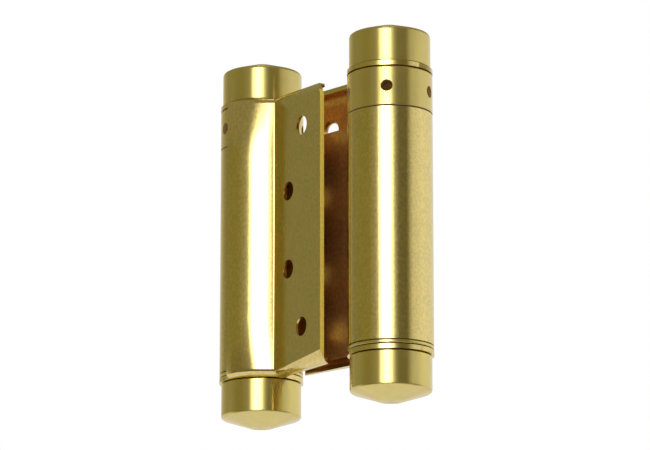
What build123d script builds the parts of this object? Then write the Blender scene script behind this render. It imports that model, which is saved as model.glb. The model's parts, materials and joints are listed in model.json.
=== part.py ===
from build123d import *
from math import cos, radians, sin, sqrt, tan
import os

# Double-acting spring hinge, 75 mm, in millimetres with +Z up along both barrels.
# Two pressed leaves swing about the two barrels of one centre plate, so a door can open both ways.
# The origin lies on the outer face of the jamb leaf, at mid height, midway between its two screw rows.
# +X points from that face into the hinge and the jamb barrel stands towards +Y.

# Sheet and barrels
sheet = 1.2
barrel_radius = 11.0
barrel_past_leaf = 4.5
rest_opening = 9.3

# Leaf
leaf_height = 75.0
leaf_width = 34.5
face_offset = 3.73
wrap_clearance = 0.3
wrap_angle = 79.0
wrap_flat_from = 33.5
inner_bend_radius = 0.5
crease_radius = 0.6
lip_bend_growth = 2.2
lip_bend_start = 0.3
lip_bend_stand_off = 0.03
top_corner_radius = 5.0
ear_overhang = 0.05
ear_blend_radius = 2.5
lip_gap = 0.4
top_lip_cut_back = 3.2
bottom_lip_cut_back = 1.6

# Screw holes in each leaf, countersunk from the inside
outer_screw_along = 25.5
outer_screw_up = 26.8
inner_screw_along = 19.0
inner_screw_up = 10.45
screw_hole_radius = 2.5
countersink_radius = 3.1

# Pin and its fits
pin_radius = 3.5
pin_clearance = 0.05
thread_radius = 3.0
thread_length = 6.6
thread_chamfer = 0.5

# Tension collar
collar_height = 10.4
collar_edge_radius = 0.3
tommy_holes = 5
tommy_hole_radius = 1.55
tommy_hole_depth = 4.0
drill_point_angle = 118.0
jamb_collar_turn = -105.2
door_collar_turn = -47.3

# Spigots that enter the barrel, and the stack of clearances along the pin
spigot_length = 4.0
spigot_clearance = 0.05
seam_gap = 0.2
plug_flange = 0.85
plug_edge_radius = 0.2
washer_thickness = 0.25
washer_inset = 2.5
end_gap = 0.05

# Torsion spring
wire_radius = 1.3
coil_turns = 13
coil_end_gap = 0.15
tang_length = 3.6
tang_clearance = 0.15
elbow_radius = 1.33
elbow_overlap = 0.4

# End cap and the nut pressed into it
cap_inset = 0.5
cap_gap = 0.15
cap_wall = 0.8
cap_height = 9.05
cap_dome = 2.4
cap_crown_radius = 3.2
cap_edge_radius = 0.8
cap_mouth_chamfer = 0.25
nut_height = 6.0
nut_lead = 0.4

# Curl of the centre plate
curl_bend_radius = 1.2
curl_seam = 0.3
seam_cut_width = 3.0

# Two points nearer than this are the same point
touch = 0.001

# Derived sizes
barrel_spacing = leaf_width + barrel_radius + barrel_past_leaf
bore_radius = barrel_radius - sheet
wrap_inner = barrel_radius + wrap_clearance
wrap_outer = wrap_inner + sheet
outer_bend_radius = inner_bend_radius + sheet
lip_depth = face_offset - lip_gap / 2
inner_face = face_offset - sheet
ear_radius = barrel_radius + ear_overhang
ear_top = leaf_height / 2
ear_under = ear_top - sheet
pin_bore = pin_radius + pin_clearance
spigot_radius = bore_radius - spigot_clearance
collar_top = ear_under - washer_thickness - end_gap
collar_bottom = collar_top - collar_height
tube_top = collar_bottom - seam_gap
flange_bottom = -(ear_under - washer_thickness - end_gap)
flange_top = flange_bottom + plug_flange
tube_bottom = flange_top + seam_gap
tube_length = tube_top - tube_bottom
plug_top = flange_top + spigot_length
spigot_bottom = collar_bottom - spigot_length
washer_radius = barrel_radius - washer_inset
cap_radius = barrel_radius - cap_inset
coil_radius = (pin_radius + bore_radius) / 2
drill_point = tommy_hole_radius / tan(radians(drill_point_angle / 2))
coil_bottom = plug_top + wire_radius + coil_end_gap
coil_top = spigot_bottom - wire_radius - coil_end_gap
coil_height = coil_top - coil_bottom
tang_hole_radius = wire_radius + tang_clearance
screw_row_middle = (outer_screw_along + inner_screw_along) / 2

# Frames: each leaf runs along its own +X from its barrel axis and its outer face looks along its own -Y
up = (0, 0, 1)
jamb_axis = Vector(face_offset, screw_row_middle, 0)
centre_way = Vector(sin(radians(rest_opening)), -cos(radians(rest_opening)), 0)
door_axis = jamb_axis + centre_way * barrel_spacing
jamb_frame = Plane(jamb_axis, x_dir=(0, -1, 0), z_dir=up)
door_frame = Plane(door_axis, x_dir=centre_way * -1, z_dir=up)
centre_frame = Plane(jamb_axis, x_dir=centre_way, z_dir=up)
leaf_frames = {"jamb": jamb_frame, "door": door_frame}
barrel_frames = {
    "jamb": centre_frame,
    "door": Plane(door_axis, x_dir=centre_way, z_dir=up),
}
# Both tangs of a spring lie on the +X side of its barrel axis
spring_frames = {side: Plane(frame.origin) for side, frame in barrel_frames.items()}
collar_turns = {"jamb": jamb_collar_turn, "door": door_collar_turn}

os.makedirs("parts", exist_ok=True)


def side_plane(frame):
    """The upright plane through a frame's axis, with its Y along the axis."""
    return Plane(frame.location * Plane.XZ.location)


def axis_of(frame):
    """The line through a frame's origin along its Z."""
    return Axis(frame.origin, frame.z_dir)


def end_frames(frame):
    """Frames on the outer faces of a leaf's top and bottom ears, each pointing outwards."""
    top = frame.offset(ear_top)
    bottom = Plane(frame.offset(-ear_top).origin, x_dir=frame.x_dir, z_dir=(0, 0, -1))
    return {"top": top, "bottom": bottom}


def crease_corner(arc_radius, face):
    """Where the flat that ends a wrap's arc meets the leaf's plate, in a leaf's frame."""
    slope = radians(wrap_flat_from)
    return ((arc_radius - face * sin(slope)) / cos(slope), -face)


def is_on_skin(point, arc_radius, face, crease):
    """Whether a point in a leaf's frame is on the skin's plate, its arc, its flat or the crease."""
    slope = radians(wrap_flat_from)
    on_plate = abs(point.Y + face) < touch
    on_arc = abs(sqrt(point.X**2 + point.Y**2) - arc_radius) < touch
    on_flat = abs(point.X * cos(slope) - point.Y * sin(slope) - arc_radius) < touch
    corner = crease_corner(arc_radius, face)
    from_corner = sqrt((point.X - corner[0]) ** 2 + (point.Y - corner[1]) ** 2)
    return on_plate or on_arc or on_flat or from_corner < crease


def widened_bend(frame, near, far, face, half_height, bend):
    """What the bends into both lips take off a skin as their radius grows towards the free edge."""
    with BuildPart() as taken:
        for along, radius in ((near, bend - lip_bend_start), (far, bend + lip_bend_growth)):
            middle = radius - lip_bend_stand_off
            corner = frame.from_local_coords((along, -face, half_height))
            with BuildSketch(Plane(corner, x_dir=frame.y_dir, z_dir=frame.x_dir)):
                with BuildLine():
                    curve = CenterArc((middle, -middle), radius, 90, 90)
                    Polyline(
                        curve @ 1, (-sheet, -middle), (-sheet, sheet), (middle, sheet), curve @ 0
                    )
                make_face()
        loft(ruled=True)
        mirror(about=Plane.XY)
    return taken.part


def skin_block(frame, arc_radius, face, half_height, crease, bend):
    """All that lies inside one skin of a leaf, run past the leaf's own edges, with its bends made."""
    far = leaf_width + 2 * sheet
    corner = crease_corner(arc_radius, face)
    widened = widened_bend(frame, corner[0] + crease, far, face, half_height, bend)
    with BuildPart() as block:
        with BuildSketch(frame.offset(-half_height)) as inside:
            with BuildLine():
                arc = CenterArc((0, 0), arc_radius, -180, 180 - wrap_flat_from)
                Polyline(
                    arc @ 1,
                    corner,
                    (far, -face),
                    (far, arc_radius + sheet),
                    (-arc_radius, arc_radius + sheet),
                    arc @ 0,
                )
            make_face()
            fillet(inside.vertices().sort_by_distance(corner)[0], radius=crease)
        extrude(amount=2 * half_height)
        rims = [
            edge
            for edge in block.edges()
            if abs(abs(edge.center().Z) - half_height) < touch
            and is_on_skin(frame.to_local_coords(edge @ 0.5), arc_radius, face, crease)
        ]
        fillet(rims, radius=bend)
        add(widened, mode=Mode.SUBTRACT)
    return block.part


# Centre plate: one sheet, flat between the barrels and curled into a tube at each end
with BuildPart() as centre_plate:
    with BuildSketch(centre_frame.offset(tube_bottom)):
        with Locations((0, 0), (barrel_spacing, 0)):
            Circle(barrel_radius)
        with Locations((barrel_spacing / 2, 0)):
            Rectangle(barrel_spacing - 2 * bore_radius, sheet)
        with Locations((0, 0), (barrel_spacing, 0)):
            Circle(bore_radius, mode=Mode.SUBTRACT)
        # The curl's free edge stops short of the sheet, on opposite sides at the two barrels
        seam_middle = sheet / 2 + curl_seam / 2
        with Locations((bore_radius, -seam_middle), (barrel_spacing - bore_radius, seam_middle)):
            Rectangle(seam_cut_width, curl_seam, mode=Mode.SUBTRACT)
    extrude(amount=tube_length)
    # The sheet turns from the flat into each curl with a bend, not a corner
    bend_corner = sqrt(barrel_radius**2 - (sheet / 2) ** 2)
    tube_middle = tube_bottom + tube_length / 2
    upright_edges = centre_plate.edges().filter_by(Axis.Z)
    bends = [
        upright_edges.sort_by_distance(centre_frame.from_local_coords(corner))[0]
        for corner in (
            (bend_corner, sheet / 2, tube_middle),
            (barrel_spacing - bend_corner, -sheet / 2, tube_middle),
        )
    ]
    fillet(bends, radius=curl_bend_radius)
centre_plate.part.label = "centre_plate"
export_step(centre_plate.part, "parts/centre_plate.step")


# Leaves: a plate, a part wrap round the barrel beyond a crease, and an ear bent over each end
for side, frame in leaf_frames.items():
    # What a leaf covers seen from above: at its ears, and at the wall between them
    with BuildPart() as blank:
        for level, height, cut_back in (
            (-ear_top, sheet, bottom_lip_cut_back),
            (-ear_under, 2 * ear_under, None),
            (ear_under, sheet, top_lip_cut_back),
        ):
            with BuildSketch(frame.offset(level)) as footprint:
                with BuildLine():
                    wedge = CenterArc((0, 0), wrap_outer + sheet, -wrap_angle, wrap_angle)
                    Polyline(wedge @ 1, (0, 0), wedge @ 0)
                make_face()
                with Locations((leaf_width / 2, -face_offset)):
                    Rectangle(leaf_width, 2 * sheet)
                if cut_back is not None:
                    Circle(ear_radius)
                    with BuildLine():
                        Polyline(
                            (0, -inner_face),
                            (leaf_width, -inner_face),
                            (leaf_width - cut_back, lip_depth - face_offset),
                            (0, lip_depth - face_offset),
                            close=True,
                        )
                    make_face()
                    lip_end = (sqrt(ear_radius**2 - (lip_gap / 2) ** 2), -lip_gap / 2)
                    fillet(
                        footprint.vertices().sort_by_distance(lip_end)[0],
                        radius=ear_blend_radius,
                    )
            extrude(amount=height)
    with BuildPart() as leaf:
        add(skin_block(frame, wrap_outer, face_offset, ear_top, crease_radius, outer_bend_radius))
        add(
            skin_block(
                frame, wrap_inner, inner_face, ear_under, crease_radius + sheet, inner_bend_radius
            ),
            mode=Mode.SUBTRACT,
        )
        add(blank.part, mode=Mode.INTERSECT)
        # The upper free corner is rounded, seen from the plate's face
        with BuildSketch(side_plane(frame)):
            with BuildLine():
                middle = (leaf_width - top_corner_radius, ear_top - top_corner_radius)
                rounding = CenterArc(middle, top_corner_radius, 0, 90)
                Polyline(
                    rounding @ 1,
                    (middle[0], ear_top + sheet),
                    (leaf_width + sheet, ear_top + sheet),
                    (leaf_width + sheet, middle[1]),
                    rounding @ 0,
                )
            make_face()
        extrude(amount=2 * face_offset, both=True, mode=Mode.SUBTRACT)
        with Locations(frame):
            Hole(pin_bore)
        for along, rise in (
            (outer_screw_along, outer_screw_up),
            (inner_screw_along, inner_screw_up),
        ):
            for height in (-rise, rise):
                inner_point = frame.from_local_coords((along, -inner_face, height))
                with Locations(Plane(inner_point, x_dir=up, z_dir=frame.y_dir)):
                    CounterSinkHole(screw_hole_radius, countersink_radius, depth=sheet)
    leaf.part.label = f"{side}_leaf"
    export_step(leaf.part, f"parts/{side}_leaf.step")


# Tension collars: turned to wind the spring, with holes round them for a bar and a stop pin
for side, frame in barrel_frames.items():
    with BuildPart() as collar:
        with BuildSketch(frame.offset(collar_bottom)):
            Circle(barrel_radius)
        extrude(amount=collar_height)
        fillet(collar.edges().filter_by(GeomType.CIRCLE), radius=collar_edge_radius)
        with BuildSketch(frame.offset(spigot_bottom)):
            Circle(spigot_radius)
        extrude(amount=spigot_length)
        with Locations(frame.offset(collar_top)):
            Hole(pin_bore)
        collar_middle = frame.offset(collar_bottom + collar_height / 2)
        for number in range(tommy_holes):
            turn = radians(collar_turns[side] + number * 360 / tommy_holes)
            mouth = collar_middle.from_local_coords(
                (barrel_radius * cos(turn), barrel_radius * sin(turn), 0)
            )
            outwards = mouth - collar_middle.origin
            with Locations(Plane(mouth, x_dir=up, z_dir=outwards)):
                Hole(tommy_hole_radius, depth=tommy_hole_depth)
            bottom = mouth - outwards.normalized() * tommy_hole_depth
            with Locations(Plane(bottom, x_dir=up, z_dir=outwards * -1)):
                Cone(
                    tommy_hole_radius,
                    0,
                    drill_point,
                    align=(Align.CENTER, Align.CENTER, Align.MIN),
                    mode=Mode.SUBTRACT,
                )
        with BuildSketch(spring_frames[side].offset(spigot_bottom)):
            with Locations((coil_radius, 0)):
                Circle(tang_hole_radius)
        extrude(amount=tang_length + tang_clearance, mode=Mode.SUBTRACT)
    collar.part.label = f"{side}_tension_collar"
    export_step(collar.part, f"parts/{side}_tension_collar.step")


# Barrel plugs: close the foot of each tube and hold the fixed end of its spring
for side, frame in barrel_frames.items():
    with BuildPart() as plug:
        with BuildSketch(frame.offset(flange_bottom)):
            Circle(barrel_radius)
        extrude(amount=plug_flange)
        fillet(plug.edges().filter_by(GeomType.CIRCLE), radius=plug_edge_radius)
        with BuildSketch(frame.offset(flange_top)):
            Circle(spigot_radius)
        extrude(amount=spigot_length)
        with Locations(frame.offset(plug_top)):
            Hole(pin_bore)
        with BuildSketch(spring_frames[side].offset(plug_top)):
            with Locations((coil_radius, 0)):
                Circle(tang_hole_radius)
        extrude(amount=-(tang_length + tang_clearance), mode=Mode.SUBTRACT)
    plug.part.label = f"{side}_barrel_plug"
    export_step(plug.part, f"parts/{side}_barrel_plug.step")


# Torsion springs: a close coil round the pin, with a straight tang into the plug and the collar
for side, frame in spring_frames.items():
    with BuildPart() as spring:
        foot = frame.offset(coil_bottom)
        with BuildLine(foot) as coil:
            Helix(pitch=coil_height / coil_turns, height=coil_height, radius=coil_radius)
        with BuildSketch(Plane(coil.line @ 0, z_dir=coil.line % 0)):
            Circle(wire_radius)
        sweep(path=coil.line, is_frenet=True)
        for end, reach in ((coil_bottom, -1), (coil_top, 1)):
            with Locations(frame.offset(end).from_local_coords((coil_radius, 0, 0))):
                Sphere(elbow_radius)
            with BuildSketch(frame.offset(end - reach * elbow_overlap)):
                with Locations((coil_radius, 0)):
                    Circle(wire_radius)
            extrude(amount=reach * (elbow_overlap + wire_radius + coil_end_gap + tang_length))
    spring.part.label = f"{side}_spring"
    export_step(spring.part, f"parts/{side}_spring.step")


# Pins: a plain shank through both ears, threaded beyond them
for side, frame in leaf_frames.items():
    with BuildPart() as pin:
        with BuildSketch(frame.offset(-ear_top)):
            Circle(pin_radius)
        extrude(amount=leaf_height)
        with BuildSketch(frame.offset(-ear_top - thread_length)):
            Circle(thread_radius)
        extrude(amount=leaf_height + 2 * thread_length)
        tips = (pin.edges().sort_by(Axis.Z)[0], pin.edges().sort_by(Axis.Z)[-1])
        chamfer(tips, length=thread_chamfer)
    pin.part.label = f"{side}_pin"
    export_step(pin.part, f"parts/{side}_pin.step")


# Washers: between each ear and the collar or plug that it turns against
for side, frame in leaf_frames.items():
    for end, level in (("top", ear_under - washer_thickness), ("bottom", -ear_under)):
        with BuildPart() as washer:
            with BuildSketch(frame.offset(level)):
                Circle(washer_radius)
                Circle(pin_bore, mode=Mode.SUBTRACT)
            extrude(amount=washer_thickness)
        washer.part.label = f"{side}_{end}_washer"
        export_step(washer.part, f"parts/{side}_{end}_washer.step")


# End caps: drawn cups with a shallow dome and a flat crown, each over a round nut on the pin's thread
for side, frame in leaf_frames.items():
    for end, seat in end_frames(frame).items():
        cap_seat = seat.offset(cap_gap)
        with BuildPart() as cap:
            with BuildSketch(side_plane(cap_seat)):
                with BuildLine():
                    rim = (cap_radius, cap_height)
                    crown = (cap_crown_radius, cap_height + cap_dome)
                    Polyline(
                        (cap_radius - cap_wall, 0),
                        (cap_radius, 0),
                        rim,
                        crown,
                        (0, cap_height + cap_dome),
                        (0, cap_height + cap_dome - cap_wall),
                        (cap_crown_radius, cap_height + cap_dome - cap_wall),
                        (cap_radius - cap_wall, cap_height - cap_wall / 2),
                        close=True,
                    )
                make_face()
            revolve(axis=axis_of(seat))
            circles = cap.edges().filter_by(GeomType.CIRCLE)
            outer_rim = circles.sort_by_distance(
                cap_seat.from_local_coords((cap_radius, 0, cap_height))
            )[0]
            fillet(outer_rim, radius=cap_edge_radius)
            mouth = cap.edges().filter_by(GeomType.CIRCLE).group_by(axis_of(seat))[0]
            chamfer(mouth.sort_by(SortBy.RADIUS)[-1], length=cap_mouth_chamfer)
        cap.part.label = f"{side}_{end}_cap"
        export_step(cap.part, f"parts/{side}_{end}_cap.step")

        with BuildPart() as nut:
            with BuildSketch(seat):
                Circle(cap_radius - cap_wall)
                Circle(thread_radius + pin_clearance, mode=Mode.SUBTRACT)
            extrude(amount=nut_height)
            outer_edges = nut.edges().filter_by(GeomType.CIRCLE).group_by(SortBy.RADIUS)[-1]
            chamfer(outer_edges, length=nut_lead)
        nut.part.label = f"{side}_{end}_cap_nut"
        export_step(nut.part, f"parts/{side}_{end}_cap_nut.step")
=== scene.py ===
import json

from math import atan2, cos, radians, sin

import bpy
from bpy.props import FloatProperty, FloatVectorProperty, PointerProperty
from mathutils import Matrix, Vector


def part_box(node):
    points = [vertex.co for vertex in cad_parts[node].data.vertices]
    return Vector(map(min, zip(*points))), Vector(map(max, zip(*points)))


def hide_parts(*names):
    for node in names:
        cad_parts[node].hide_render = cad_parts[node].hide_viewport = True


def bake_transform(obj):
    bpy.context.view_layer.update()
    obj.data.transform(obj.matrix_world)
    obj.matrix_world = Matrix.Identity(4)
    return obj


bl_info = {
    "name": "Double-acting spring hinge",
    "version": (1, 0, 0),
    "blender": (4, 5, 0),
    "location": "3D View > Sidebar > Hinge",
    "description": "Finishes a polished brass double-acting spring hinge and its studio stage",
    "category": "Object",
}

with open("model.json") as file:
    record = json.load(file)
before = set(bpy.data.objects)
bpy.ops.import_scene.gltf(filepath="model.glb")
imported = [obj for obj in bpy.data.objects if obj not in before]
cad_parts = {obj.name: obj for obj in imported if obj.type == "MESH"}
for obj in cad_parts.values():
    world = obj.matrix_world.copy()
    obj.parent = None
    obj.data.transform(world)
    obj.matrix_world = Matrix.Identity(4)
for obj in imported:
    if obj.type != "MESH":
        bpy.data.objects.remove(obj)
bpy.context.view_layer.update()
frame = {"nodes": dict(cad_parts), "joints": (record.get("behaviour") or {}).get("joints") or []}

# Each leaf's barrel axis, and the way its plate runs from there
jamb_axis = Vector(frame["joints"][0]["pos_m"])
door_axis = Vector(frame["joints"][1]["pos_m"])
leaf_frames = {
    "jamb_leaf": (jamb_axis, Vector((0, -1, 0))),
    "door_leaf": (door_axis, (jamb_axis - door_axis).normalized()),
}

# Sizes of the CAD shape that the finish follows, in metres
sheet = 0.0012
leaf_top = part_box("jamb_leaf")[1].z
axis_to_plate = jamb_axis.x
inner_bend = 0.0015
sheared_from = 0.03
barrel_radius = 0.011
bore_radius = 0.0098
collar_hole_radius = 0.0016
collar_hole_level = frame["joints"][2]["pos_m"][2]
tolerance = 0.0002

# How much of a face's normal must point one way for the face to count as facing it
facing = 0.5
facing_straight = 0.9
facing_down = 0.2

# Places of a mesh's materials in its list. On a leaf, the inner place holds the painted shade of
# the recess and the sheared place a painted highlight; on the centre plate, the web place holds
# that painted shade; on a turned piece, the second and third places hold painted shade in its
# holes and in its seam
OUTSIDE, INSIDE, SHEARED_HIGHLIGHT = range(3)
CURLED, WEB = range(2)
TURNED, BORE_SHADE, SEAM_SHADE = range(3)

# How the press draws a leaf's wrap in: over this length below each ear and to this depth, in
# metres. The depth grows with the turn round the barrel from the plate, up to drawn_turn
drawn_length = 0.016
drawn_depth = 0.00136
drawn_power = 1.5
drawn_turn = radians(-60)

# How the wrap falls away beside the crease: its depth in metres, and the turns from the plate
# between which it falls
crease_depth = 0.00014
crease_power = 2.0
crease_turns = (radians(-27), radians(-18))

# Range in which nearly all values of a noise pattern lie, and narrower ones for more contrast
noise_range = (0.25, 0.75)
patch_range = (0.3, 0.75)
speck_range = (0.3, 0.7)

# How far roughness varies below and above its value, on polished brass and on bare metal
brass_spread = (0.0, 0.07)
bare_spread = (-0.06, 0.1)

# Share of its colour that metal keeps where inner brass is dull and in the marks on bare metal,
# and the share of the holes' painted shade kept by the darker painted shade in the seam under a
# collar
dull_share = 0.8
mark_share = 0.75
seam_shade_share = 0.6

# How much rougher the inner brass is than the polished plate
inner_roughening = 0.16

# Turn of the marks on turned brass that spreads reflections along the axis, as a share of a circle
quarter_turn = 0.25

# Streaks in the polished brass: how their pattern is stretched, and their depth in metres
leaf_streaks = ((900, 900, 160), 0.000011)
curled_streaks = ((1100, 1100, 80), 0.000011)
inner_streaks = ((500, 500, 90), 0.000004)
turned_streaks = ((400, 400, 40), 0.0000004)

# How the pattern on bare metal is stretched: even, short across an edge, round a turned piece
# and along a drawn one
even_marks = (900, 900, 900)
edge_marks = (200, 200, 1500)
turned_marks = (60, 60, 3000)
drawn_marks = (1500, 1500, 60)

# How a spring's loose triangles are joined and smoothed
weld_distance = 0.000001
smooth_angle = radians(40)

# Groups of nodes that are finished alike
sides = ("jamb", "door")
ends = [f"{side}_{end}" for side in sides for end in ("top", "bottom")]
turned_nodes = [f"{side}_{piece}" for side in sides for piece in ("tension_collar", "barrel_plug")]
cap_nodes = [f"{end}_cap" for end in ends]
washer_and_nut_nodes = [f"{end}_{piece}" for end in ends for piece in ("washer", "cap_nut")]
pin_nodes = [f"{side}_pin" for side in sides]


def colour_setting(name, description, default):
    """A property that holds one colour."""
    return FloatVectorProperty(
        name=name, description=description, subtype="COLOR", size=3, min=0, max=1, default=default
    )


def roughness_setting(name, description, default):
    """A property that holds one roughness."""
    return FloatProperty(name=name, description=description, min=0.02, max=0.8, default=default)


def angle_setting(name, description, degrees):
    """A property that holds one angle."""
    return FloatProperty(
        name=name, description=description, subtype="ANGLE", default=radians(degrees)
    )


def length_setting(name, description, metres):
    """A property that holds one length."""
    return FloatProperty(
        name=name, description=description, subtype="DISTANCE", unit="LENGTH", default=metres
    )


class HingeFinish(bpy.types.PropertyGroup):
    """Colours and polish of the hinge's metals."""

    plate_colour: colour_setting(
        "Plate brass", "Colour of the pressed and curled brass plate", (0.81, 0.64, 0.24)
    )
    worn_colour: colour_setting(
        "Dull brass", "Colour of the brass's slightly dulled patches", (0.68, 0.565, 0.235)
    )
    turned_colour: colour_setting(
        "Turned brass", "Colour of the caps, collars and plugs", (0.78, 0.635, 0.195)
    )
    # Painted shade: the brass between the leaves is coloured darker and redder than the plate,
    # standing in for the shade in the recess there; its extra roughness is its own
    inner_shade_colour: colour_setting(
        "Inner brass", "Colour of the unlacquered brass between the leaves", (0.80, 0.47, 0.15)
    )
    # Painted highlight: the sheared free edges are coloured brighter than brass and made nearly
    # non-metallic, standing in for the glint along their lit faces; their roughness is their own
    edge_highlight_colour: colour_setting(
        "Sheared edge", "Colour of the leaves' sheared free edges", (1.0, 0.74, 0.12)
    )
    # Painted shade: a dark brown, mostly matte colour inside the drilled holes and on faces hidden
    # in the barrels, and darker still in the seam under each collar, where shade falls
    bore_shade_colour: colour_setting(
        "Bored brass",
        "Colour of drilled holes and of faces hidden in the barrels",
        (0.46, 0.29, 0.10),
    )
    steel_colour: colour_setting(
        "Steel", "Colour of the pins, washers and nuts", (0.52, 0.50, 0.47)
    )
    spring_colour: colour_setting(
        "Spring steel", "Colour of the oiled spring wire", (0.12, 0.12, 0.13)
    )
    plate_roughness: roughness_setting(
        "Plate roughness", "Roughness of the polished plate at its brightest", 0.11
    )
    turned_roughness: roughness_setting(
        "Turned roughness", "Roughness of the turned and drawn brass at its brightest", 0.21
    )
    turned_spread: FloatProperty(
        name="Turned spread",
        description="How much more turning marks spread a reflection across them than along them",
        subtype="FACTOR",
        min=0,
        max=1,
        default=0.9,
    )


class HingeStage(bpy.types.PropertyGroup):
    """Camera, floor and round studio wall."""

    camera_azimuth: angle_setting(
        "Camera azimuth", "Turn of the camera round the hinge from the view along +Y", -32.69
    )
    camera_elevation: angle_setting(
        "Camera elevation", "Height of the camera above the level, as an angle", -13.43
    )
    camera_place: FloatVectorProperty(
        name="Camera place",
        description="Where the camera stands",
        subtype="TRANSLATION",
        size=3,
        unit="LENGTH",
        default=(-0.50476, -0.80114, -0.22543),
    )
    camera_lens: FloatProperty(
        name="Focal length",
        description="Focal length for a sensor 36 mm wide",
        subtype="DISTANCE_CAMERA",
        default=207.4,
    )
    wall_distance: length_setting(
        "Wall distance", "Radius of the round studio wall that the metal mirrors", 1.6
    )
    wall_height: length_setting("Wall height", "Height of the round studio wall", 9.0)
    floor_drop: length_setting("Floor drop", "Depth of the floor below the hinge's middle", 1.1)


# Heights above the hinge's middle between which the wall's lights shine, and the fade at each
# end, in metres
lights_low = 0.06
lights_high = 0.57
lights_fade = 0.12

# Light of the wall above its lights, and below them towards and away from the camera, and how
# far the last two run into each other on both sides of the middle, in metres
light_above = (0.30, 0.28, 0.18)
light_below_front = (0.20, 0.17, 0.10)
light_below_back = (0.80, 0.77, 0.74)
light_below_blend = 0.4

# Width of the camera's sensor in millimetres, and how near it sees, in metres
sensor_width = 36
nearest = 0.01

# Width of the floor in metres, its shade of grey and its roughness
floor_width = 12
floor_grey = 0.86
floor_roughness = 0.9

# Light of the studio wall by its turn from the camera, in degrees towards the picture's right
wall_lights = (
    (-180, (0.80, 0.80, 0.80)),
    (-140, (0.44, 0.41, 0.27)),
    (-120, (0.27, 0.26, 0.16)),
    (-100, (0.27, 0.255, 0.11)),
    (-60, (0.27, 0.25, 0.09)),
    (-43, (0.36, 0.34, 0.22)),
    (-34, (0.50, 0.49, 0.41)),
    (-26, (3.1, 3.1, 3.1)),
    (-17, (6.5, 6.5, 6.5)),
    (-4, (6.5, 6.5, 6.5)),
    (4, (2.0, 2.0, 1.9)),
    (13, (0.44, 0.43, 0.35)),
    (22, (0.17, 0.16, 0.10)),
    (45, (0.15, 0.14, 0.07)),
    (54, (0.52, 0.50, 0.42)),
    (61, (0.76, 0.75, 0.71)),
    (93, (0.96, 0.96, 0.94)),
    (130, (0.88, 0.88, 0.87)),
    (180, (0.80, 0.80, 0.80)),
)


def shaded(colour, share):
    """A colour at a share of its light."""
    return tuple(channel * share for channel in colour)


def add_node(tree, kind, place, **properties):
    """A shader node of one kind, with its properties set by name."""
    node = tree.nodes.new(kind)
    node.location = place
    for name, value in properties.items():
        setattr(node, name, value)
    return node


def metal_material(name, colour, roughness, metallic):
    """A metal material, with its tree, its Principled shader and its Object coordinates."""
    material = bpy.data.materials.new(name)
    material.use_nodes = True
    tree = material.node_tree
    shader = tree.nodes["Principled BSDF"]
    shader.inputs["Metallic"].default_value = metallic
    shader.inputs["Base Color"].default_value = (*colour, 1.0)
    shader.inputs["Roughness"].default_value = roughness
    place = add_node(tree, "ShaderNodeTexCoord", (-1300, 0))
    return material, tree, shader, place.outputs["Object"]


def noise_field(tree, coordinates, place, stretch, scale=1.0, detail=3, graininess=0.5):
    """A noise pattern on stretched coordinates, with one value."""
    mapping = add_node(tree, "ShaderNodeMapping", (place[0] - 200, place[1]))
    mapping.inputs["Scale"].default_value = stretch
    tree.links.new(coordinates, mapping.inputs["Vector"])
    noise = add_node(tree, "ShaderNodeTexNoise", place)
    noise.inputs["Scale"].default_value = scale
    noise.inputs["Detail"].default_value = detail
    noise.inputs["Roughness"].default_value = graininess
    tree.links.new(mapping.outputs["Vector"], noise.inputs["Vector"])
    return noise.outputs["Fac"]


def remap(tree, value, place, source, target=(0.0, 1.0)):
    """A value moved from one range to another."""
    node = add_node(tree, "ShaderNodeMapRange", place)
    for name, limit in zip(("From Min", "From Max", "To Min", "To Max"), (*source, *target)):
        node.inputs[name].default_value = limit
    tree.links.new(value, node.inputs["Value"])
    return node.outputs["Result"]


def mix_colours(tree, factor, first, second, place):
    """Two colours mixed by a factor, of which each may be plain or another node's output."""
    node = add_node(tree, "ShaderNodeMix", place, data_type="RGBA")
    for name, colour in (("A", first), ("B", second)):
        if isinstance(colour, bpy.types.NodeSocket):
            tree.links.new(colour, node.inputs[name])
        else:
            node.inputs[name].default_value = (*colour, 1.0)
    tree.links.new(factor, node.inputs["Factor"])
    return node.outputs["Result"]


def arithmetic(tree, operation, first, second, place):
    """One operation on two values, of which the second may be a plain number."""
    node = add_node(tree, "ShaderNodeMath", place, operation=operation)
    tree.links.new(first, node.inputs[0])
    if isinstance(second, (int, float)):
        node.inputs[1].default_value = second
    else:
        tree.links.new(second, node.inputs[1])
    return node.outputs["Value"]


def roughen(tree, shader, pattern, roughness, spread):
    """Lets a pattern vary a shader's roughness about one value."""
    limits = [roughness + change for change in spread]
    rough = remap(tree, pattern, (-650, -100), noise_range, limits)
    tree.links.new(rough, shader.inputs["Roughness"])


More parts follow.
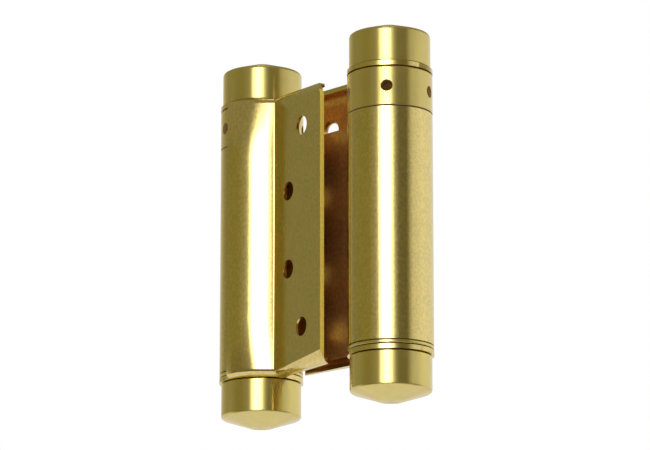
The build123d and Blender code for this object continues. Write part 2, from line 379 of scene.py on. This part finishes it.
def brass(name, bright, dull, roughness, streaks, shape=None, metallic=1.0, grain=0.9):
    """Polished and lacquered brass with dull patches, fine mottling and streaks from polishing."""
    streak_stretch, streak_depth = streaks
    material, tree, shader, coordinates = metal_material(name, bright, roughness, metallic)
    patches = noise_field(
        tree, coordinates, (-900, 300), (1, 1, 0.6), scale=300, detail=7, graininess=0.72
    )
    patch_amount = remap(tree, patches, (-650, 300), patch_range)
    specks = noise_field(tree, coordinates, (-900, 600), (1, 1, 0.8), scale=1500, detail=2)
    speck_amount = remap(tree, specks, (-650, 600), speck_range, (-grain, grain))
    dulled = arithmetic(tree, "ADD", patch_amount, speck_amount, (-450, 450))
    colour = mix_colours(tree, dulled, bright, dull, (-250, 300))
    tree.links.new(colour, shader.inputs["Base Color"])
    marks = noise_field(
        tree, coordinates, (-900, -100), streak_stretch, detail=5, graininess=0.62
    )
    roughen(tree, shader, marks, roughness, brass_spread)
    height = arithmetic(tree, "MULTIPLY", marks, streak_depth, (-650, -350))
    if shape:
        height = arithmetic(tree, "ADD", height, shape(tree, coordinates), (-450, -350))
    bump = add_node(tree, "ShaderNodeBump", (-300, -350))
    bump.inputs["Strength"].default_value = 1.0
    bump.inputs["Distance"].default_value = 1.0
    tree.links.new(height, bump.inputs["Height"])
    tree.links.new(bump.outputs["Normal"], shader.inputs["Normal"])
    return material


def turned_brass(name, finish):
    """Brass with fine marks round it, which spread reflections up and down more than sideways."""
    material = brass(
        name,
        finish.turned_colour,
        finish.worn_colour,
        finish.turned_roughness,
        turned_streaks,
        grain=0.0,
    )
    shader = material.node_tree.nodes["Principled BSDF"]
    shader.inputs["Anisotropic"].default_value = finish.turned_spread
    shader.inputs["Anisotropic Rotation"].default_value = quarter_turn
    return material


def drawn_in_ends(axis, along):
    """How far the press draws a leaf's wrap in, towards its ears and beside its crease."""

    def height(tree, coordinates):
        local = add_node(tree, "ShaderNodeMapping", (-1900, -700), vector_type="TEXTURE")
        local.inputs["Location"].default_value = axis
        local.inputs["Rotation"].default_value = (0, 0, atan2(along.y, along.x))
        tree.links.new(coordinates, local.inputs["Vector"])
        parts = add_node(tree, "ShaderNodeSeparateXYZ", (-1700, -700))
        tree.links.new(local.outputs["Vector"], parts.inputs["Vector"])
        x, y, z = parts.outputs
        turn = arithmetic(tree, "ARCTAN2", y, x, (-1500, -600))
        share = remap(tree, turn, (-1300, -600), (0.0, drawn_turn))
        up = arithmetic(tree, "ABSOLUTE", z, 0.0, (-1500, -800))
        past = remap(tree, up, (-1300, -800), (leaf_top - drawn_length, leaf_top))
        curve = arithmetic(tree, "POWER", past, drawn_power, (-1100, -800))
        depth = arithmetic(tree, "MULTIPLY", curve, share, (-900, -700))
        drawn_in = arithmetic(tree, "MULTIPLY", depth, -drawn_depth, (-700, -700))
        near_crease = remap(tree, turn, (-1300, -1000), crease_turns)
        rounded = arithmetic(tree, "POWER", near_crease, crease_power, (-1100, -1000))
        fall = arithmetic(tree, "MULTIPLY", rounded, -crease_depth, (-900, -1000))
        return arithmetic(tree, "ADD", drawn_in, fall, (-500, -800))

    return height


def is_inner(face, axis, along):
    """Whether a face of a leaf is on the skin that faces the centre plate, which gets the painted
    shade of the recess between the leaves.
    """
    inwards = Vector((-along.y, along.x, 0))
    away = face.center - axis
    away.z = 0
    on_plate = away.dot(inwards) < sheet + inner_bend - axis_to_plate
    faces_in = on_plate and face.normal.dot(inwards) > facing
    faces_barrel = face.normal.dot(away.normalized()) < -facing
    below_ear = abs(face.center.z) < leaf_top - sheet + tolerance
    faces_middle = below_ear and face.normal.z * face.center.z < -facing * abs(face.center.z)
    return faces_in or faces_barrel or faces_middle


def is_sheared(face, axis, along):
    """Whether a face of a leaf is on the free edge of its plate, which gets a painted highlight.
    """
    reach = (face.center - axis).dot(along)
    return reach > sheared_from and face.normal.dot(along) > facing_straight


def is_web(face):
    """Whether a face of the centre plate is on the flat web between its barrels, which gets the
    painted shade of the recess between the leaves.
    """
    beyond = barrel_radius + tolerance
    return all((face.center - axis).xy.length > beyond for axis in (jamb_axis, door_axis))


def is_bored(face, axis):
    """Whether a face of a collar or plug lies inside one of its holes or inside its barrel, where
    its colour is painted shade.
    """
    from_axis = (face.center - axis).xy.length
    in_barrel = from_axis < bore_radius and abs(face.normal.z) < facing
    beside_hole = abs(face.center.z - collar_hole_level) < collar_hole_radius + tolerance
    return in_barrel or (beside_hole and from_axis < barrel_radius - tolerance)


def in_seam(face):
    """Whether a face of a collar looks down into the seam above its tube, where its colour is
    painted shade.
    """
    return face.normal.z < -facing_down and face.center.z > 0


def bare_metal(name, colour, marks, roughness, metallic=1.0):
    """Bare metal with fine drawing or turning marks."""
    material, tree, shader, coordinates = metal_material(name, colour, roughness, metallic)
    pattern = noise_field(tree, coordinates, (-900, 0), marks)
    roughen(tree, shader, pattern, roughness, bare_spread)
    tone = mix_colours(tree, pattern, colour, shaded(colour, mark_share), (-400, 200))
    tree.links.new(tone, shader.inputs["Base Color"])
    return material


def dress(node_names, *materials):
    """Gives the same materials to CAD nodes that keep their own shape."""
    for name in node_names:
        mesh = frame["nodes"][name].data
        mesh.materials.clear()
        for material in materials:
            mesh.materials.append(material)


class HINGE_OT_leaves(bpy.types.Operator):
    """Finishes both pressed leaves in lacquered brass"""

    bl_idname = "hinge.leaves"
    bl_label = "Leaves"

    def execute(self, context):
        finish = context.scene.hinge_finish
        # The skin facing the centre plate gets the painted shade of the recess, the free edges a
        # painted highlight
        inside = brass(
            "inner_brass_painted_shade",
            finish.inner_shade_colour,
            shaded(finish.inner_shade_colour, dull_share),
            finish.plate_roughness + inner_roughening,
            inner_streaks,
            metallic=0.88,
        )
        # Painted highlight on the sheared free edges
        sheared = bare_metal(
            "sheared_brass_painted_highlight", finish.edge_highlight_colour, edge_marks, roughness=0.45, metallic=0.1
        )
        for name, (axis, along) in leaf_frames.items():
            outside = brass(
                f"pressed_brass_{name}",
                finish.plate_colour,
                finish.worn_colour,
                finish.plate_roughness,
                leaf_streaks,
                drawn_in_ends(axis, along),
            )
            dress((name,), outside, inside, sheared)
            for face in frame["nodes"][name].data.polygons:
                if is_sheared(face, axis, along):
                    face.material_index = SHEARED_HIGHLIGHT
                else:
                    face.material_index = INSIDE if is_inner(face, axis, along) else OUTSIDE
        return {"FINISHED"}


class HINGE_OT_centre_plate(bpy.types.Operator):
    """Finishes the centre plate and its two curled barrels"""

    bl_idname = "hinge.centre_plate"
    bl_label = "Centre plate"

    def execute(self, context):
        finish = context.scene.hinge_finish
        plate = brass(
            "curled_brass",
            finish.plate_colour,
            finish.worn_colour,
            finish.plate_roughness,
            curled_streaks,
        )
        # The web between the barrels gets the same painted shade of the recess as the leaves'
        # inner skin
        dress(("centre_plate",), plate, bpy.data.materials["inner_brass_painted_shade"])
        for face in frame["nodes"]["centre_plate"].data.polygons:
            face.material_index = WEB if is_web(face) else CURLED
        return {"FINISHED"}


class HINGE_OT_turned_parts(bpy.types.Operator):
    """Finishes the tension collars and barrel plugs in satin turned brass"""

    bl_idname = "hinge.turned_parts"
    bl_label = "Collars and plugs"

    def execute(self, context):
        finish = context.scene.hinge_finish
        turned = turned_brass("turned_brass", finish)
        # Painted shade inside the holes and bores, and darker painted shade in the seam under each
        # collar
        bore_shade = bare_metal(
            "bore_painted_shade", finish.bore_shade_colour, even_marks, roughness=0.45, metallic=0.2
        )
        seam_shade_colour = shaded(finish.bore_shade_colour, seam_shade_share)
        seam_shade = bare_metal(
            "seam_painted_shade", seam_shade_colour, even_marks, roughness=0.5, metallic=0.6
        )
        dress(turned_nodes, turned, bore_shade, seam_shade)
        for name in turned_nodes:
            low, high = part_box(name)
            axis = (low + high) / 2
            for face in frame["nodes"][name].data.polygons:
                if is_bored(face, axis):
                    face.material_index = BORE_SHADE
                else:
                    face.material_index = SEAM_SHADE if in_seam(face) else TURNED
        return {"FINISHED"}


class HINGE_OT_end_caps(bpy.types.Operator):
    """Finishes the four domed end caps"""

    bl_idname = "hinge.end_caps"
    bl_label = "End caps"

    def execute(self, context):
        finish = context.scene.hinge_finish
        dress(cap_nodes, turned_brass("drawn_brass", finish))
        return {"FINISHED"}


class HINGE_OT_inner_parts(bpy.types.Operator):
    """Finishes the pins, washers and nuts inside the barrels"""

    bl_idname = "hinge.inner_parts"
    bl_label = "Inner parts"

    def execute(self, context):
        finish = context.scene.hinge_finish
        bright = bare_metal("bright_steel", finish.steel_colour, turned_marks, roughness=0.3)
        drawn = bare_metal("drawn_steel", finish.steel_colour, drawn_marks, roughness=0.26)
        dress(washer_and_nut_nodes, bright)
        dress(pin_nodes, drawn)
        return {"FINISHED"}


class HINGE_OT_springs(bpy.types.Operator):
    """Replaces each spring with a welded, smooth-shaded copy in oiled steel, and hides the CAD
    spring
    """

    bl_idname = "hinge.springs"
    bl_label = "Springs"

    def execute(self, context):
        finish = context.scene.hinge_finish
        oiled = bare_metal(
            "oiled_spring_steel", finish.spring_colour, even_marks, roughness=0.36
        )
        for side, axis in zip(sides, (jamb_axis, door_axis)):
            node = frame["nodes"][f"{side}_spring"]
            spring = bpy.data.objects.new(f"{side}_wound_spring", node.data.copy())
            context.collection.objects.link(spring)
            self.weld(context, spring)
            spring.data.materials.clear()
            spring.data.materials.append(oiled)
            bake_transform(spring)
            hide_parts(f"{side}_spring")
        return {"FINISHED"}

    def weld(self, context, spring):
        """Joins the spring's loose triangles and shades it smooth."""
        bpy.ops.object.select_all(action="DESELECT")
        context.view_layer.objects.active = spring
        spring.select_set(True)
        bpy.ops.object.mode_set(mode="EDIT")
        bpy.ops.mesh.select_all(action="SELECT")
        bpy.ops.mesh.remove_doubles(threshold=weld_distance)
        bpy.ops.mesh.customdata_custom_splitnormals_clear()
        bpy.ops.object.mode_set(mode="OBJECT")
        bpy.ops.object.shade_smooth_by_angle(angle=smooth_angle)


def emission_material(name):
    """A material that only gives light, and its tree and emission shader."""
    material = bpy.data.materials.new(name)
    material.use_nodes = True
    tree = material.node_tree
    tree.nodes.remove(tree.nodes["Principled BSDF"])
    glow = add_node(tree, "ShaderNodeEmission", (0, 0))
    tree.links.new(glow.outputs["Emission"], tree.nodes["Material Output"].inputs["Surface"])
    return material, tree, glow


class HINGE_OT_stage(bpy.types.Operator):
    """Adds the camera, the floor, the round studio wall and the white surroundings"""

    bl_idname = "hinge.stage"
    bl_label = "Stage"

    def execute(self, context):
        stage = context.scene.hinge_stage
        self.add_camera(context, stage)
        self.add_floor(stage)
        self.add_wall(stage)
        self.light_world(context)
        context.scene.view_settings.view_transform = "Standard"
        return {"FINISHED"}

    def add_camera(self, context, stage):
        azimuth, elevation = stage.camera_azimuth, stage.camera_elevation
        back = Vector(
            (sin(azimuth) * cos(elevation), -cos(azimuth) * cos(elevation), sin(elevation))
        )
        right = Vector((cos(azimuth), sin(azimuth), 0))
        turn = Matrix((right, back.cross(right), back)).transposed()
        data = bpy.data.cameras.new("camera")
        data.sensor_width = sensor_width
        data.lens = stage.camera_lens
        data.clip_start = nearest
        camera = bpy.data.objects.new("camera", data)
        camera.matrix_world = Matrix.Translation(stage.camera_place) @ turn.to_4x4()
        context.collection.objects.link(camera)
        context.scene.camera = camera

    def add_floor(self, stage):
        bpy.ops.mesh.primitive_plane_add(size=floor_width, location=(0, 0, -stage.floor_drop))
        floor = bpy.context.active_object
        floor.name = "floor"
        material = bpy.data.materials.new("pale_floor")
        material.use_nodes = True
        shader = material.node_tree.nodes["Principled BSDF"]
        shader.inputs["Base Color"].default_value = (floor_grey, floor_grey, floor_grey, 1)
        shader.inputs["Roughness"].default_value = floor_roughness
        floor.data.materials.append(material)

    def add_wall(self, stage):
        wall_middle = stage.wall_height / 2 - stage.floor_drop
        bpy.ops.mesh.primitive_cylinder_add(
            vertices=128,
            radius=stage.wall_distance,
            depth=stage.wall_height,
            end_fill_type="NOTHING",
            location=(0, 0, wall_middle),
        )
        wall = bpy.context.active_object
        wall.name = "studio_wall"
        wall.visible_camera = False
        wall.visible_shadow = False
        wall.visible_diffuse = False
        wall.data.materials.append(self.wall_material(stage, wall_middle))

    def wall_material(self, stage, wall_middle):
        """Light that changes round the wall and with the height on it."""
        brightest = max(max(light) for _, light in wall_lights)
        material, tree, glow = emission_material("studio_wall")
        place = add_node(tree, "ShaderNodeTexCoord", (-1300, 0))
        towards_camera = stage.camera_azimuth - radians(90)
        mapping = add_node(tree, "ShaderNodeMapping", (-1100, 0))
        mapping.inputs["Rotation"].default_value = (0, 0, -towards_camera)
        tree.links.new(place.outputs["Object"], mapping.inputs["Vector"])
        parts = add_node(tree, "ShaderNodeSeparateXYZ", (-900, 0))
        tree.links.new(mapping.outputs["Vector"], parts.inputs["Vector"])
        x, y, z = parts.outputs
        angle = arithmetic(tree, "ARCTAN2", y, x, (-700, 0))
        turn = remap(tree, angle, (-500, 0), (radians(-180), radians(180)))
        lights = self.lights_by_turn(tree, turn, brightest)
        height = arithmetic(tree, "ADD", z, wall_middle, (-700, -400))
        above = remap(tree, height, (-500, -300), (lights_high, lights_high + lights_fade))
        below = remap(tree, height, (-500, -600), (lights_low, lights_low - lights_fade))
        in_front = remap(tree, x, (-500, -900), (-light_below_blend, light_below_blend))
        back, front, high = [
            [channel / brightest for channel in light]
            for light in (light_below_back, light_below_front, light_above)
        ]
        low = mix_colours(tree, in_front, back, front, (-300, -900))
        lower = mix_colours(tree, below, lights, low, (-100, -300))
        whole = mix_colours(tree, above, lower, high, (100, -200))
        tree.links.new(whole, glow.inputs["Color"])
        glow.inputs["Strength"].default_value = brightest
        return material

    def lights_by_turn(self, tree, turn, brightest):
        """The wall's lights as a colour ramp, as shares of the brightest one."""
        ramp = add_node(tree, "ShaderNodeValToRGB", (-300, 0))
        elements = ramp.color_ramp.elements
        while len(elements) > 1:
            elements.remove(elements[0])
        for index, (degrees_right, light) in enumerate(wall_lights):
            position = (degrees_right + 180) / 360
            element = elements[0] if index == 0 else elements.new(position)
            element.position = position
            element.color = (*[channel / brightest for channel in light], 1)
        tree.links.new(turn, ramp.inputs["Fac"])
        return ramp.outputs["Color"]

    def light_world(self, context):
        world = bpy.data.worlds.new("white_surroundings")
        world.use_nodes = True
        background = world.node_tree.nodes["Background"]
        background.inputs["Color"].default_value = (1, 1, 1, 1)
        background.inputs["Strength"].default_value = 1.0
        context.scene.world = world


class HINGE_PT_panel(bpy.types.Panel):
    """Lists the hinge's operators and their settings"""

    bl_idname = "HINGE_PT_panel"
    bl_label = "Spring hinge"
    bl_space_type = "VIEW_3D"
    bl_region_type = "UI"
    bl_category = "Hinge"

    def draw(self, context):
        layout = self.layout
        for group in (context.scene.hinge_finish, context.scene.hinge_stage):
            for name in group.__annotations__:
                layout.prop(group, name)
        for operator in operators:
            layout.operator(operator.bl_idname)


operators = (
    HINGE_OT_leaves,
    HINGE_OT_centre_plate,
    HINGE_OT_turned_parts,
    HINGE_OT_end_caps,
    HINGE_OT_inner_parts,
    HINGE_OT_springs,
    HINGE_OT_stage,
)
classes = (HingeFinish, HingeStage, *operators, HINGE_PT_panel)


def register():
    for cls in classes:
        bpy.utils.register_class(cls)
    bpy.types.Scene.hinge_finish = PointerProperty(type=HingeFinish)
    bpy.types.Scene.hinge_stage = PointerProperty(type=HingeStage)


def unregister():
    del bpy.types.Scene.hinge_stage
    del bpy.types.Scene.hinge_finish
    for cls in reversed(classes):
        bpy.utils.unregister_class(cls)


def main():
    register()
    for operator in operators:
        group, action = operator.bl_idname.split(".")
        getattr(getattr(bpy.ops, group), action)()


if __name__ == "__main__":
    main()
